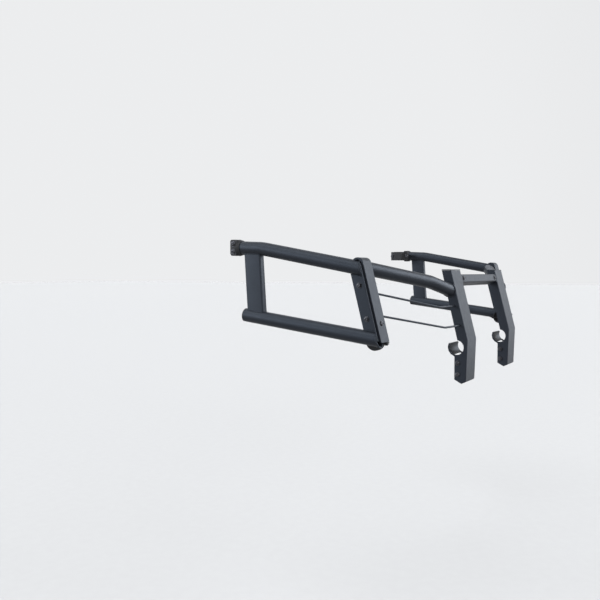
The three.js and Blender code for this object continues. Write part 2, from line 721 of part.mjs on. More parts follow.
// Outer half, with a pad that the tube's lug is bolted to.
function clampBlock() {
  const padX = [pillarX + pillarBore + 2, LUG_X[0] - GAP];
  const padY = [LUG_COLLAR_Y[1] + GAP, LUG_Y[1]];
  const pad = block(padX, padY, PILLAR_CLAMP_Z);
  const tapped = LUG_BOLTS.map(([y, z]) => bar(HOLE_RADIUS, 36, [LUG_X[0], y, z], across));
  return toGeometry(cut(join(clampHalf(1), pad), pillarRoom(), ...pillarBoltHoles(), ...tapped));
}

function clampShell() {
  return toGeometry(cut(clampHalf(-1), pillarRoom(), ...pillarBoltHoles()));
}

function sideFrame(side) {
  const group = new THREE.Group();
  group.add(piece(`side_tube_${side}`, sideTube(), 'coat'));
  group.add(piece(`tube_lug_${side}`, tubeLug(), 'coat'));
  group.add(piece(`lower_tube_${side}`, lowerTube(), 'coat'));
  group.add(piece(`lower_tube_plug_${side}`, lowerTubePlug(), 'plastic'));
  group.add(piece(`rear_post_${side}`, rearPost(), 'coat'));
  group.add(piece(`front_post_${side}`, frontPost(), 'coat'));
  group.add(piece(`bracket_cover_${side}`, bracketCover(), 'coat'));
  group.add(piece(`front_tube_${side}`, frontTube(), 'coat'));
  group.add(piece(`grille_rod_upper_${side}`, grilleRod(UPPER_ROD), 'coat'));
  group.add(piece(`grille_rod_lower_${side}`, grilleRod(LOWER_ROD), 'coat'));
  group.add(piece(`bumper_saddle_${side}`, bumperSaddle(), 'coat'));
  group.add(piece(`bumper_strap_${side}`, bumperStrap(), 'coat'));
  group.add(piece(`saddle_bolt_${side}`, saddleBolt(), 'fastener'));

  const throughWidth = POST_FLANGE_X - COVER_X[0] + 2 * GAP;
  BRACKET_SIDE_BOLTS.forEach(([y, z], i) => {
    const through = bolt([POST_FLANGE_X + GAP, y, z], across, throughWidth + 9, throughWidth);
    group.add(piece(`bracket_bolt_${i === 0 ? 'upper' : 'lower'}_${side}`, through, 'fastener'));
  });
  const [faceX, faceZ] = BRACKET_FACE_BOLT;
  const seat = [faceX, coverFaceY(faceZ) - GAP, faceZ];
  const stack = COVER_THICKNESS + SHEET + 3 * GAP;
  group.add(piece(`cover_bolt_${side}`, bolt(seat, [0, -1, COVER_SLOPE], stack + 9, stack), 'fastener'));

  group.add(piece(`pillar_clamp_block_${side}`, clampBlock(), 'coat'));
  group.add(piece(`pillar_clamp_shell_${side}`, clampShell(), 'coat'));
  LUG_BOLTS.forEach(([y, z], i) => {
    const name = `lug_bolt_${i === 0 ? 'upper' : 'lower'}_${side}`;
    group.add(piece(name, bolt([LUG_X[1] + GAP, y, z], across, 38), 'fastener'));
  });
  const grip = 2 * PILLAR_EAR + PILLAR_SPLIT + 2 * GAP;
  pillarBoltPoints(pillarX - grip / 2).forEach((point, i) => {
    const name = `pillar_bolt_${i === 0 ? 'front' : 'rear'}_${side}`;
    group.add(piece(name, bolt(point, [-1, 0, 0], grip + 9, grip), 'fastener'));
  });
  return group;
}

// ---------------------------------------------------------------------------------------------------
// The guard
// ---------------------------------------------------------------------------------------------------

const guard = new THREE.Group();
guard.add(piece('crossbar', crossbar(), 'coat'));
for (const side of ['left', 'right']) {
  const half = new THREE.Group();
  half.add(centreHalf(side), sideFrame(side));
  half.scale.x = side === 'left' ? 1 : -1;
  guard.add(half);
}

export default guard;
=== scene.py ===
# Looks of the front grille guard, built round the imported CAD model.
#
# Lengths are metres. The front faces -Y, the vehicle's left side is +X, and the origin is on the axis of
# the vehicle's bumper tube. Tubes, rods, rear posts, plugs and weld beads are built from the dimensions below
# for +X, then mirrored. Bolts are built on each side, along the axis of their CAD node. The sheet, plate and
# cast parts need only rounded edges, so each starts from a copy of its CAD node.

import math

import bmesh
import bpy
from mathutils import Matrix, Quaternion, Vector


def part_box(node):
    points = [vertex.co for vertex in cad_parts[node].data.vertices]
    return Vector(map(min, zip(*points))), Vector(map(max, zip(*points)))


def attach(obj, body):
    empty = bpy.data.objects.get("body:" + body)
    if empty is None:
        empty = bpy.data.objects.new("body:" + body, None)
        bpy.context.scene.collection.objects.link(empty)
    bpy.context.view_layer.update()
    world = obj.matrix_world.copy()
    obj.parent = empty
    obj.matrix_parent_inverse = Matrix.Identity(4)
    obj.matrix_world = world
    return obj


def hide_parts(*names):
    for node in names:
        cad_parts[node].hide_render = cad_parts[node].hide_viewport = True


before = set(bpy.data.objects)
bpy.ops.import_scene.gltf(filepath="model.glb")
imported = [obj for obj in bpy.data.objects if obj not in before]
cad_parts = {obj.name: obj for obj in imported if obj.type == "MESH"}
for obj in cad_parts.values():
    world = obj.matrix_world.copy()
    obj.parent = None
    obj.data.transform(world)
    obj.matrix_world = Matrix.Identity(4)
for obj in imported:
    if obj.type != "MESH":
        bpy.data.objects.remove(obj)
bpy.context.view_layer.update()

scene = bpy.context.scene
MM = 0.001

# ----------------------------------------------------------------------------------------------------
# Dimensions shared with the CAD source
# ----------------------------------------------------------------------------------------------------

GAP = 0.3 * MM  # between a welded or seated piece and its neighbour
TUBE_RADIUS = 21.2 * MM
TUBE_WALL = 2.6 * MM
TUBE_BEND = 160 * MM
ROD_RADIUS = 3.2 * MM
ROD_BEND = 30 * MM
COVER_THICKNESS = 6 * MM
SHEET = 3 * MM

# Corners of the middle lines
SIDE_TUBE = [(0.715, 0.120, 0.2525), (0.715, 0.4949, 0.321), (0.715, 0.5795, 0.325)]
LOWER_TUBE = [(0.715, 0.060, 0.04794), (0.715, 0.558, 0.11193)]
FRONT_TUBE = [(0.675, 0.1754, 0.2625), (0.399, 0.0616, 0.2166), (0.300, 0.0221, 0.186)]
UPPER_ROD = [(0.675, 0.1539, 0.1901), (0.4173, 0.0212, 0.1368), (0.300, 0.008, 0.1364)]
LOWER_ROD = [(0.675, 0.1381, 0.1232), (0.4163, 0.0024, 0.0722), (0.300, -0.0105, 0.0729)]

COVER_POINT = (0.1271, 0.209)  # y and z of a point on the cover's face
COVER_SLOPE = 0.256
BRACKET_DEPTH = 52.5 * MM  # level, behind the cover's face
POST_FLANGE_X = 0.716  # the outboard face of the front post's outboard flange
CROSSBAR_OUT = Vector((0, -1, 0.2533)).normalized()
COVER_OUT = Vector((0, -1, COVER_SLOPE)).normalized()

REAR_POST_POINT = (0.5186, 0.1602)  # y and z of a point on the middle line
REAR_POST_SLOPE = 0.0637  # y per z
REAR_POST_SIZE = (0.025, 0.060)  # across, lengthwise
REAR_POST_CORNER = 5 * MM

# ----------------------------------------------------------------------------------------------------
# Fineness of the meshes
# ----------------------------------------------------------------------------------------------------

SAME_POINT = 1e-6  # points of a lofted skin closer than this become one
SHARP_ANGLE = 32  # degrees: edges that turn more are kept sharp, or are rounded on a CAD copy
FACET_ANGLE = 0.6  # degrees: CAD facets that meet at less are one flat face
TUBE_SIDES = 64
ROD_SIDES = 24
BOLT_SIDES = 36

# ----------------------------------------------------------------------------------------------------
# Materials
# ----------------------------------------------------------------------------------------------------


def new_material(name):
    """A material with its nodes, its links and its shader."""
    material = bpy.data.materials.new(name)
    material.use_nodes = True
    nodes = material.node_tree.nodes
    return material, nodes, material.node_tree.links, nodes["Principled BSDF"]


def texture(nodes, links, scale, detail=2.0, roughness=0.5):
    """Noise over the piece's own space, in metres."""
    place = nodes.get("Texture Coordinate") or nodes.new("ShaderNodeTexCoord")
    noise = nodes.new("ShaderNodeTexNoise")
    noise.inputs["Scale"].default_value = scale
    noise.inputs["Detail"].default_value = detail
    noise.inputs["Roughness"].default_value = roughness
    links.new(place.outputs["Object"], noise.inputs["Vector"])
    return noise.outputs["Fac"]


def ramp(nodes, links, source, between, onto=(0.0, 1.0)):
    """Maps the values between two limits onto another range, and holds the rest at its ends."""
    spread = nodes.new("ShaderNodeMapRange")
    spread.inputs["From Min"].default_value, spread.inputs["From Max"].default_value = between
    spread.inputs["To Min"].default_value, spread.inputs["To Max"].default_value = onto
    links.new(source, spread.inputs["Value"])
    return spread.outputs["Result"]


MIX_SHARE, MIX_FIRST, MIX_SECOND = 0, 6, 7  # sockets of a mix node that blends colours
MIX_RESULT = 2


def blend_colours(nodes, links, share, first, second):
    """The first colour where the share is 0, the second where it is 1; each is a constant or a socket."""
    mix = nodes.new("ShaderNodeMix")
    mix.data_type = "RGBA"
    for socket, value in ((MIX_FIRST, first), (MIX_SECOND, second)):
        if isinstance(value, tuple):
            mix.inputs[socket].default_value = (*value, 1)
        else:
            links.new(value, mix.inputs[socket])
    links.new(share, mix.inputs[MIX_SHARE])
    return mix.outputs[MIX_RESULT]


def wear_and_highlight_share(nodes, links, noise, most):
    """How much an edge is lightened, up to the most given: partly wear where the coat is rubbed thin, partly
    a painted highlight along the edge. The mesh's edge mark, broken up by noise.
    """
    mark = nodes.new("ShaderNodeAttribute")
    mark.attribute_name = "edge"
    patchy = ramp(nodes, links, noise, (0.45, 0.7), (0.15, 1.0))
    share = nodes.new("ShaderNodeMath")
    share.operation = "MULTIPLY"
    links.new(mark.outputs["Fac"], share.inputs[0])
    links.new(patchy, share.inputs[1])
    scaled = nodes.new("ShaderNodeMath")
    scaled.operation = "MULTIPLY"
    scaled.inputs[1].default_value = most
    links.new(share.outputs[0], scaled.inputs[0])
    return scaled.outputs[0]


def bumps(nodes, links, layers, shader):
    """Bump layers of (height, strength, distance), the coarsest first."""
    normal = None
    for height, strength, distance in layers:
        bump = nodes.new("ShaderNodeBump")
        bump.inputs["Strength"].default_value = strength
        bump.inputs["Distance"].default_value = distance
        links.new(height, bump.inputs["Height"])
        if normal is not None:
            links.new(normal, bump.inputs["Normal"])
        normal = bump.outputs["Normal"]
    links.new(normal, shader.inputs["Normal"])


def powder_coat():
    """Satin black powder coat: orange peel with a fine grain in it, and lighter edges, partly where it lies
    thinner and partly a painted highlight.
    """
    material, nodes, links, shader = new_material("powder_coat")
    peel = texture(nodes, links, scale=420, detail=1.5)
    grain = texture(nodes, links, scale=2600, detail=2.0, roughness=0.6)
    cloud = texture(nodes, links, scale=9, detail=3.0)
    dust = texture(nodes, links, scale=60, detail=4.0, roughness=0.6)
    share = ramp(nodes, links, cloud, (0.35, 0.65))
    colour = blend_colours(nodes, links, share, (0.0052, 0.0056, 0.0072), (0.0068, 0.0073, 0.0092))
    # Lighter edges: partly wear where the coat is thin, partly a painted highlight.
    wear_and_highlight = wear_and_highlight_share(nodes, links, dust, 0.6)
    colour = blend_colours(nodes, links, wear_and_highlight, colour, (0.052, 0.054, 0.060))
    links.new(colour, shader.inputs["Base Color"])
    links.new(ramp(nodes, links, dust, (0.3, 0.7), (0.45, 0.52)), shader.inputs["Roughness"])
    shader.inputs["Specular IOR Level"].default_value = 0.22
    shader.inputs["Specular Tint"].default_value = (0.72, 0.84, 1.0, 1)
    bumps(nodes, links, [(peel, 0.25, 0.00025), (grain, 0.35, 0.00006)], shader)
    return material


def cast_coat():
    """The same coat over rough castings and clamp plates: coarser, duller, a little dusty."""
    material, nodes, links, shader = new_material("cast_coat")
    pits = texture(nodes, links, scale=260, detail=3.0, roughness=0.65)
    grain = texture(nodes, links, scale=1500, detail=2.0, roughness=0.6)
    dust = texture(nodes, links, scale=35, detail=5.0, roughness=0.65)
    share = ramp(nodes, links, dust, (0.35, 0.75))
    colour = blend_colours(nodes, links, share, (0.0055, 0.0055, 0.0061), (0.0115, 0.0115, 0.0122))
    # Lighter edges: partly wear where the coat is thin, partly a painted highlight.
    wear_and_highlight = wear_and_highlight_share(nodes, links, dust, 0.4)
    colour = blend_colours(nodes, links, wear_and_highlight, colour, (0.050, 0.050, 0.052))
    links.new(colour, shader.inputs["Base Color"])
    links.new(ramp(nodes, links, dust, (0.3, 0.7), (0.50, 0.64)), shader.inputs["Roughness"])
    shader.inputs["Specular IOR Level"].default_value = 0.20
    bumps(nodes, links, [(pits, 0.5, 0.0006), (grain, 0.4, 0.0001)], shader)
    return material


def matte_coat():
    """Dull black dip coat on the clamp straps, drier and darker than the powder coat."""
    material, nodes, links, shader = new_material("matte_coat")
    grain = texture(nodes, links, scale=900, detail=3.0, roughness=0.6)
    dust = texture(nodes, links, scale=45, detail=4.0, roughness=0.65)
    share = ramp(nodes, links, dust, (0.35, 0.7))
    colour = blend_colours(nodes, links, share, (0.0040, 0.0040, 0.0046), (0.0075, 0.0075, 0.0082))
    # Lighter edges: partly wear where the coat is thin, partly a painted highlight.
    wear_and_highlight = wear_and_highlight_share(nodes, links, dust, 0.35)
    colour = blend_colours(nodes, links, wear_and_highlight, colour, (0.040, 0.040, 0.043))
    links.new(colour, shader.inputs["Base Color"])
    links.new(ramp(nodes, links, dust, (0.3, 0.7), (0.58, 0.70)), shader.inputs["Roughness"])
    shader.inputs["Specular IOR Level"].default_value = 0.18
    bumps(nodes, links, [(grain, 0.35, 0.00012)], shader)
    return material


def black_zinc():
    """Black zinc fasteners: metal with a dark, slightly blotchy finish that is brighter on its edges, partly
    worn and partly a painted highlight.
    """
    material, nodes, links, shader = new_material("black_zinc")
    blotch = texture(nodes, links, scale=160, detail=4.0, roughness=0.6)
    grain = texture(nodes, links, scale=1800, detail=2.0)
    share = ramp(nodes, links, blotch, (0.35, 0.7))
    colour = blend_colours(nodes, links, share, (0.022, 0.022, 0.025), (0.055, 0.055, 0.060))
    # Lighter edges: partly wear of the zinc, partly a painted highlight.
    wear_and_highlight = wear_and_highlight_share(nodes, links, blotch, 0.6)
    colour = blend_colours(nodes, links, wear_and_highlight, colour, (0.20, 0.20, 0.21))
    links.new(colour, shader.inputs["Base Color"])
    links.new(ramp(nodes, links, blotch, (0.3, 0.7), (0.28, 0.42)), shader.inputs["Roughness"])
    shader.inputs["Metallic"].default_value = 0.85
    bumps(nodes, links, [(grain, 0.25, 0.00005)], shader)
    return material


def plug_plastic():
    """Moulded black plastic with a fine spark-eroded grain."""
    material, nodes, links, shader = new_material("moulded_plastic")
    grain = texture(nodes, links, scale=1100, detail=2.5, roughness=0.6)
    cloud = texture(nodes, links, scale=40, detail=2.0)
    share = ramp(nodes, links, cloud, (0.35, 0.65))
    colour = blend_colours(nodes, links, share, (0.010, 0.010, 0.011), (0.016, 0.016, 0.017))
    links.new(colour, shader.inputs["Base Color"])
    links.new(ramp(nodes, links, grain, (0.3, 0.7), (0.52, 0.66)), shader.inputs["Roughness"])
    shader.inputs["Specular IOR Level"].default_value = 0.45
    bumps(nodes, links, [(grain, 0.45, 0.00012)], shader)
    return material


COAT = powder_coat()
CAST = cast_coat()
MATTE = matte_coat()
FASTENER = black_zinc()
PLASTIC = plug_plastic()

# ----------------------------------------------------------------------------------------------------
# Meshes
# ----------------------------------------------------------------------------------------------------


def add_piece(name, bm, material, slot, *nodes, sharp=SHARP_ANGLE):
    """Makes a piece of the object from a bmesh, in place of the CAD nodes named: smooth, with the edges over
    an angle in degrees kept sharp."""
    bmesh.ops.recalc_face_normals(bm, faces=bm.faces)
    mesh = bpy.data.meshes.new(name)
    bm.to_mesh(mesh)
    bm.free()
    mesh.shade_smooth()
    mesh.set_sharp_from_angle(angle=math.radians(sharp))
    mesh.materials.append(material)
    piece = bpy.data.objects.new(name, mesh)
    scene.collection.objects.link(piece)
    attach(piece, "root")
    if nodes:
        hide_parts(*nodes)
    return piece


def mirrored(bm):
    """The mirror image on the other side of X = 0."""
    copy = bm.copy()
    bmesh.ops.scale(copy, vec=(-1, 1, 1), verts=copy.verts)
    bmesh.ops.reverse_faces(copy, faces=copy.faces)
    return copy


def add_pair(node, bm, material, slot, sharp=SHARP_ANGLE):
    """A piece on the +X side and its mirror image, each in place of the CAD node of its side."""
    for side, half in (("left", bm), ("right", mirrored(bm))):
        add_piece(f"{node}_{side}_fine", half, material, slot, f"{node}_{side}", sharp=sharp)


def loft(bm, rings, closed_ends=False):
    """Joins rings of as many points each into a skin, with its two ends capped if asked. Gives the rings."""
    made = [[bm.verts.new(point) for point in ring] for ring in rings]
    for a, b in zip(made, made[1:]):
        for i in range(len(a)):
            j = (i + 1) % len(a)
            bm.faces.new((a[i], a[j], b[j], b[i]))
    if closed_ends:
        bm.faces.new(reversed(made[0]))
        bm.faces.new(made[-1])
    return made


def bent_line(corners, bend_radius, step=3.0):
    """Points and directions along straight runs joined by round bends, which turn by at most a step, in
    degrees, from one point to the next."""
    points = [Vector(corner) for corner in corners]
    line = [(points[0], (points[1] - points[0]).normalized())]
    for previous, corner, following in zip(points, points[1:], points[2:]):
        back = (previous - corner).normalized()
        onward = (following - corner).normalized()
        turn = math.pi - back.angle(onward)
        start = corner + back * bend_radius * math.tan(turn / 2)
        centre = corner + (back + onward).normalized() * bend_radius / math.cos(turn / 2)
        axis = (-back).cross(onward).normalized()
        steps = max(4, math.ceil(math.degrees(turn) / step))
        for k in range(steps + 1):
            turned = Quaternion(axis, turn * k / steps)
            line.append((centre + turned @ (start - centre), turned @ -back))
    line.append((points[-1], (points[-1] - points[-2]).normalized()))
    return line


def onto_plane(point, direction, plane):
    """Where a line through a point meets a plane given as (point, normal)."""
    base, normal = plane
    return point + direction * ((base - point).dot(normal) / direction.dot(normal))


def ring_round(point, direction, radius, sides):
    """Points of a circle square to a direction."""
    upright = abs(direction.z) >= 0.99
    reference = Vector((0, 1, 0)) if upright else Vector((0, 0, 1))
    across = direction.cross(reference).normalized()
    upward = across.cross(direction)
    turns = [2 * math.pi * i / sides for i in range(sides)]
    return [point + (across * math.cos(t) + upward * math.sin(t)) * radius for t in turns]


def tube_end(line, first, radius, sides, plane, back_off=0.0):
    """The last ring of a tube at one end, slid onto a plane, and drawn back from it if asked."""
    point, direction = line[0] if first else line[-1]
    inwards = direction if first else -direction
    ring = ring_round(point, direction, radius, sides)
    if plane is not None:
        ring = [onto_plane(p, direction, plane) for p in ring]
    return [p + inwards * back_off for p in ring]


def tube(line, start=None, end=None):
    """A hollow tube along a line, its ends cut at planes, with a small chamfer round each end."""
    outer = TUBE_RADIUS
    inner = TUBE_RADIUS - TUBE_WALL
    chamfer = 0.5 * MM
    end_profile = [(inner, chamfer), (inner + chamfer, 0.0), (outer - chamfer, 0.0), (outer, chamfer)]
    middle = line[1:-1]
    rings = [tube_end(line, True, r, TUBE_SIDES, start, back) for r, back in end_profile]
    rings += [ring_round(p, d, outer, TUBE_SIDES) for p, d in middle]
    rings += [tube_end(line, False, r, TUBE_SIDES, end, back) for r, back in reversed(end_profile)]
    rings += [ring_round(p, d, inner, TUBE_SIDES) for p, d in reversed(middle)]
    bm = bmesh.new()
    loft(bm, rings + [rings[0]])
    bmesh.ops.remove_doubles(bm, verts=bm.verts, dist=SAME_POINT)
    return bm


def rod(line, radius, sides, start, end):
    """A solid round bar along a line, its ends cut at planes."""
    rings = [tube_end(line, True, radius, sides, start)]
    rings += [ring_round(p, d, radius, sides) for p, d in line[1:-1]]
    rings.append(tube_end(line, False, radius, sides, end))
    bm = bmesh.new()
    loft(bm, rings, closed_ends=True)
    return bm


def spun(profile, point, direction, sides=48):
    """A profile of (radius, height) turned about a direction through a point; radius 0 closes it."""
    rings = [ring_round(point + direction * h, direction, max(r, SAME_POINT), sides) for r, h in profile]
    bm = bmesh.new()
    loft(bm, rings, closed_ends=True)
    bmesh.ops.remove_doubles(bm, verts=bm.verts, dist=4 * SAME_POINT)
    return bm


def merge(bm, other):
    """Adds another bmesh's geometry to this one and frees the other."""
    mesh = bpy.data.meshes.new("merging")
    other.to_mesh(mesh)
    other.free()
    bm.from_mesh(mesh)
    bpy.data.meshes.remove(mesh)


# ----------------------------------------------------------------------------------------------------
# Sheet, plate and cast parts, from copies of their CAD nodes
# ----------------------------------------------------------------------------------------------------


FOLD_TURN = (55, 125)  # degrees
NOSE_TURN = 57.3  # degrees


def turn_of(edge):
    """Degrees between the normals of an edge's two faces."""
    return math.degrees(edge.calc_face_angle(0))


def is_nose(edge, reach):
    """A convex edge beyond a distance from X = 0, with one of its faces looking forwards."""
    if len(edge.link_faces) != 2 or not edge.is_convex or min(abs(v.co.x) for v in edge.verts) < reach:
        return False
    return turn_of(edge) > NOSE_TURN and any(face.normal.y < -0.7 for face in edge.link_faces)


def fold_edges(bm, wide, convex):
    """Edges between two faces over an area that meet near a right angle: where the sheet is folded."""
    low, high = FOLD_TURN
    found = []
    for edge in bm.edges:
        if len(edge.link_faces) != 2 or edge.is_convex != convex:
            continue
        if low < turn_of(edge) < high and all(face.calc_area() > wide for face in edge.link_faces):
            found.append(edge)
    return found


def bevelled(bm, edges, width, steps):
    """Rounds the edges and gives the faces of the rounding."""
    made = bmesh.ops.bevel(
        bm,
        geom=edges,
        offset=width,
        offset_type="OFFSET",
        segments=steps,
        profile=0.5,
        affect="EDGES",
        clamp_overlap=True,
    )
    return set(made["faces"])


def refine(
    node,
    material,
    slot,
    fold=0.0,
    inner_fold=0.0,
    wide=0.0009,
    edge=0.6 * MM,
    steps=2,
    nose=None,
    weld=1e-5,
):
    """A copy of a CAD node with its folds and its edges rounded, which stands for it.

    Fold and inner_fold round the outside and the inside of the folds between faces of more than the area
    wide. Nose is (distance from X = 0, radius): front edges at that distance or further out get that radius.
    All other sharp edges get edge, in that many steps. Points closer than weld become one first.
    """
    bm = bmesh.new()
    bm.from_mesh(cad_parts[node].data)
    bmesh.ops.remove_doubles(bm, verts=bm.verts, dist=weld)
    bmesh.ops.dissolve_limit(bm, angle_limit=math.radians(FACET_ANGLE), verts=bm.verts, edges=bm.edges)
    if fold:
        bevelled(bm, fold_edges(bm, wide, convex=True), fold, steps=5)
    if inner_fold:
        bevelled(bm, fold_edges(bm, wide, convex=False), inner_fold, steps=3)
    if nose:
        reach, radius = nose
        bevelled(bm, [e for e in bm.edges if is_nose(e, reach)], radius, steps=4)
    mark = bm.verts.layers.float.new("edge")
    limit = math.radians(SHARP_ANGLE)
    convex = [e for e in bm.edges if len(e.link_faces) == 2 and e.is_convex]
    sharp = [e for e in convex if e.calc_face_angle(0) > limit]
    rounding = bevelled(bm, sharp, edge, steps)
    for v in bm.verts:
        v[mark] = float(rounding.issuperset(v.link_faces))
    piece = add_piece(f"{node}_fine", bm, material, slot, node)
    weighted = piece.modifiers.new("weighted_normals", "WEIGHTED_NORMAL")
    weighted.weight = 100
    weighted.keep_sharp = True


for side in ("left", "right"):
    refine(f"upright_{side}", COAT, "coat", fold=4.2 * MM, inner_fold=1.5 * MM, edge=0.5 * MM)
    refine(f"upright_cap_{side}", COAT, "coat", edge=0.9 * MM)
    refine(f"tube_clamp_{side}", COAT, "coat", edge=0.6 * MM)
    refine(f"crossbar_tab_{side}", COAT, "coat", edge=0.5 * MM)
    refine(f"front_post_{side}", COAT, "coat", edge=0.5 * MM, nose=(0.728, 2.2 * MM), weld=3e-4)
    refine(f"bracket_cover_{side}", COAT, "coat", edge=1.1 * MM, steps=3, weld=3e-4)
    refine(f"bumper_saddle_{side}", MATTE, "coat", edge=0.5 * MM)
    refine(f"bumper_strap_{side}", MATTE, "coat", edge=0.5 * MM)
    refine(f"tube_lug_{side}", CAST, "coat", edge=1.4 * MM, steps=3)
    refine(f"pillar_clamp_block_{side}", CAST, "coat", edge=1.0 * MM, steps=3)
    refine(f"pillar_clamp_shell_{side}", CAST, "coat", edge=1.0 * MM, steps=3)
refine("crossbar", COAT, "coat", fold=4.2 * MM, inner_fold=1.5 * MM, wide=0.002, edge=0.5 * MM)

# ----------------------------------------------------------------------------------------------------
# Tubes, rods and posts
# ----------------------------------------------------------------------------------------------------

cover_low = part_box("bracket_cover_left")[0]
upright_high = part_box("upright_left")[1]
FLANGE_PLANE = (Vector((cover_low.x - GAP, 0, 0)), Vector((1, 0, 0)))
UPRIGHT_PLANE = (Vector((upright_high.x + GAP, 0, 0)), Vector((1, 0, 0)))


def cover_plane(level_offset):
    """The plane a level distance behind the cover's face."""
    y, z = COVER_POINT
    return (Vector((0, y + level_offset, z)), COVER_OUT)


level_per_thickness = math.hypot(1, COVER_SLOPE)
WEB_PLANE = cover_plane((COVER_THICKNESS + SHEET) * level_per_thickness + 2 * GAP)

side_line = bent_line(SIDE_TUBE, TUBE_BEND)
lower_line = bent_line(LOWER_TUBE, TUBE_BEND)
front_line = bent_line(FRONT_TUBE, TUBE_BEND)
upper_rod_line = bent_line(UPPER_ROD, ROD_BEND, step=6)
lower_rod_line = bent_line(LOWER_ROD, ROD_BEND, step=6)

add_pair("side_tube", tube(side_line, start=WEB_PLANE), COAT, "coat")
add_pair("lower_tube", tube(lower_line, start=WEB_PLANE), COAT, "coat")
add_pair("front_tube", tube(front_line, start=FLANGE_PLANE, end=UPRIGHT_PLANE), COAT, "coat")
for node, line in (("grille_rod_upper", upper_rod_line), ("grille_rod_lower", lower_rod_line)):
    add_pair(node, rod(line, ROD_RADIUS, ROD_SIDES, FLANGE_PLANE, UPRIGHT_PLANE), COAT, "coat")


def rounded_rectangle(width, length, radius, steps=6):
    """Points (across, lengthwise) of a rectangle with round corners, all the way round."""
    points = []
    for k, (sx, sy) in enumerate(((1, 1), (-1, 1), (-1, -1), (1, -1))):
        for i in range(steps + 1):
            t = math.radians(90 * k + 90 * i / steps)
            x = sx * (width / 2 - radius) + radius * math.cos(t)
            y = sy * (length / 2 - radius) + radius * math.sin(t)
            points.append((x, y))
    return points


def on_tube(across, lengthwise, corners, above):
    """Where a line of the rear post, at an offset from its middle, meets a tube's surface."""
    a, b = Vector(corners[-2]), Vector(corners[-1])
    direction = (b - a).normalized()
    height = math.sqrt((TUBE_RADIUS + GAP) ** 2 - across**2)
    normal = Vector((0, -direction.z, direction.y)) * (1 if above else -1)
    base = a + normal * height
    y0, z0 = REAR_POST_POINT
    point = Vector((a.x + across, y0 + lengthwise, z0))
    return onto_plane(point, Vector((0, REAR_POST_SLOPE, 1)).normalized(), (base, normal))


def rear_post():
    """The rear post, hollow, and its outlines where it stands on one tube and meets the other."""
    width, length = REAR_POST_SIZE
    wall = TUBE_WALL  # the same as the tubes'
    outside = rounded_rectangle(width, length, REAR_POST_CORNER)
    inside = rounded_rectangle(width - 2 * wall, length - 2 * wall, REAR_POST_CORNER - wall)
    low = [[on_tube(u, v, LOWER_TUBE, True) for u, v in ring] for ring in (outside, inside)]
    high = [[on_tube(u, v, SIDE_TUBE, False) for u, v in ring] for ring in (outside, inside)]
    bm = bmesh.new()
    loft(bm, [low[1], low[0], high[0], high[1], low[1]])
    bmesh.ops.remove_doubles(bm, verts=bm.verts, dist=SAME_POINT)
    return bm, low[0], high[0]


post, post_foot, post_head = rear_post()
add_pair("rear_post", post, COAT, "coat")


PLUG_TIP = [(0, -14), (14, -14), (16.6, -13)]
PLUG_BARBS = [(17.9, -11.5), (17.1, -9.8), (17.9, -8), (17.1, -6.3), (17.9, -4.5), (17.4, -1), (17.8, 0.35)]
PLUG_FLANGE = [(20.6, 0.35), (21.1, 0.8), (21.15, 1.9), (20.7, 2.7)]
PLUG_DOME = [(19.4, 3.7), (16.5, 5.0), (12, 5.9), (6.5, 6.35), (0, 6.5)]
PLUG_PROFILE = PLUG_TIP + PLUG_BARBS + PLUG_FLANGE + PLUG_DOME  # radius and height, in mm


def tube_plug():
    """Domed plug with a flange that laps the tube's end and barbs that hold it in the bore."""
    point, direction = lower_line[-1]
    return spun([(r * MM, h * MM) for r, h in PLUG_PROFILE], point, direction)


add_pair("lower_tube_plug", tube_plug(), PLASTIC, "plastic", sharp=50)

# ----------------------------------------------------------------------------------------------------
# Fasteners
# ----------------------------------------------------------------------------------------------------

# In mm. Radii: shank, head and washer. From the middle to a flat: socket and nut. Lengths along the axis:
# high (head and washer), deep (socket) and tall (nut and washer).
M8 = {
    "shank": 4.0,
    "head": 6.9,
    "high": 4.6,
    "socket": 2.9,
    "deep": 2.6,
    "washer": 8.4,
    "nut": 6.5,
    "tall": 6.5,
}
M6 = {
    "shank": 3.0,
    "head": 4.9,
    "high": 3.4,
    "socket": 2.3,
    "deep": 1.9,
    "washer": 5.6,
    "nut": 5.0,
    "tall": 5.0,
}
WASHER_THICKNESS = 1.1 * MM
WASHER_ROUNDING = 0.2 * MM
SOCKET_CHAMFER = 0.15 * MM
NUT_CHAMFER = 0.7 * MM
THREAD_PITCH = 1.25 * MM  # an M8's, drawn on the M6 too
PAST_HEAD = 8 * MM  # from a head's top, past all of the head and its washer

# Button head: share of its radius and of its height, from the washer up to the socket
DOME = [
    (1.0, 0.0),
    (1.0, 0.22),
    (0.965, 0.42),
    (0.89, 0.63),
    (0.78, 0.80),
    (0.66, 0.92),
    (0.56, 0.98),
    (0.50, 1.0),
]


def hexagon(point, direction, flats):
    """Points round a hexagon with a distance from its middle to its flats, as many as a bolt has sides."""
    ring = ring_round(point, direction, flats / math.cos(math.pi / 6), 6)
    each = BOLT_SIDES // len(ring)
    return [
        ring[i].lerp(ring[(i + 1) % len(ring)], k / each)
        for i in range(len(ring))
        for k in range(each)
    ]


def washer_rings(seat, direction, radius, rise):
    """A flat washer's rings. Its lower rim is rounded over a share of its thickness called rise."""
    rim = radius - WASHER_ROUNDING
    profile = [(rim, 0.0), (radius, rise), (radius, 0.85), (rim, 1.0)]
    return [
        ring_round(seat + direction * (WASHER_THICKNESS * share), direction, r, BOLT_SIDES)
        for r, share in profile
    ]


